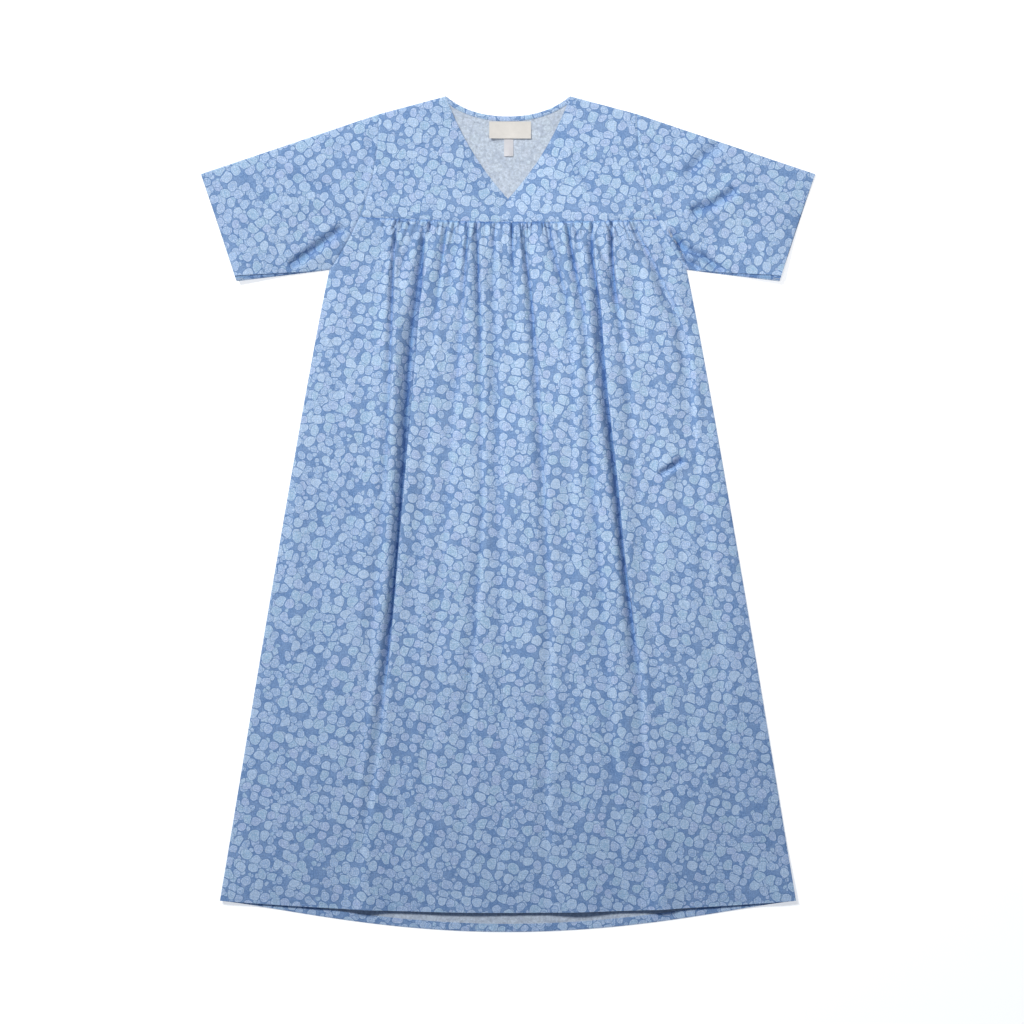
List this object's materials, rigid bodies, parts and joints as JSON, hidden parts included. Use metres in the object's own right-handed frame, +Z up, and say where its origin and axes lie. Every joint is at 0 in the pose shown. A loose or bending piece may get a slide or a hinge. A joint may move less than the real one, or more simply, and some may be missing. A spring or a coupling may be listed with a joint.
{
  "type": "patient gown",
  "caption": "Short-sleeved pull-over patient gown with a V neck and a skirt gathered into a yoke, laid flat on its back.",
  "frame": {"origin": "on the surface that the gown lies on, under the middle of its outline", "axes": "+Y from the hem to the neck, +X towards the wearer's left, +Z up from the surface"},
  "size_m": [0.8606, 1.17, 0.0153],
  "materials": {
    "printed_cotton": "matt woven cotton with a pale blue petal print on mid blue",
    "printed_trim": "the same printed cotton, turned in hems and neck bindings",
    "seam_allowance": "pale wrong side of the cotton, overlocked",
    "label_tape": "smooth woven satin label tape, blank"
  },
  "bodies": {
    "body": {"back_yoke": "printed_cotton", "back_skirt": "printed_cotton", "front_yoke": "printed_cotton", "front_skirt": "printed_cotton", "back_yoke_seam": "seam_allowance", "front_yoke_seam": "seam_allowance", "back_hem": "printed_trim", "front_hem": "printed_trim", "back_neck_binding": "printed_trim", "left_neck_facing": "printed_trim", "left_shoulder_seam": "seam_allowance", "left_side_seam": "seam_allowance", "left_armhole_seam": "seam_allowance", "left_sleeve_head": "printed_cotton", "right_neck_facing": "printed_trim", "right_shoulder_seam": "seam_allowance", "right_side_seam": "seam_allowance", "right_armhole_seam": "seam_allowance", "right_sleeve_head": "printed_cotton"},
    "left_sleeve": {"left_sleeve": "printed_cotton", "left_sleeve_hem": "printed_trim"},
    "right_sleeve": {"right_sleeve": "printed_cotton", "right_sleeve_hem": "printed_trim"},
    "neck_label": {"neck_label": "label_tape"},
    "size_label": {"size_label": "label_tape"}
  },
  "joints": [
    {"name": "left_sleeve_fold", "type": "hinge", "parent": "body", "child": "left_sleeve", "pos_m": [0.276, 0.435, 0.016], "axis": [0, -1, 0], "range_deg": [0, 180]},
    {"name": "right_sleeve_fold", "type": "hinge", "parent": "body", "child": "right_sleeve", "pos_m": [-0.276, 0.435, 0.016], "axis": [0, 1, 0], "range_deg": [0, 180]},
    {"name": "neck_label_flap", "type": "hinge", "parent": "body", "child": "neck_label", "pos_m": [0.003, 0.5497, 0.0022], "axis": [-1, 0, 0], "range_deg": [0, 100]},
    {"name": "size_label_flap", "type": "hinge", "parent": "neck_label", "child": "size_label", "pos_m": [0.001, 0.52555, 0.0022], "axis": [-1, 0, 0], "range_deg": [0, 130]}
  ]
}
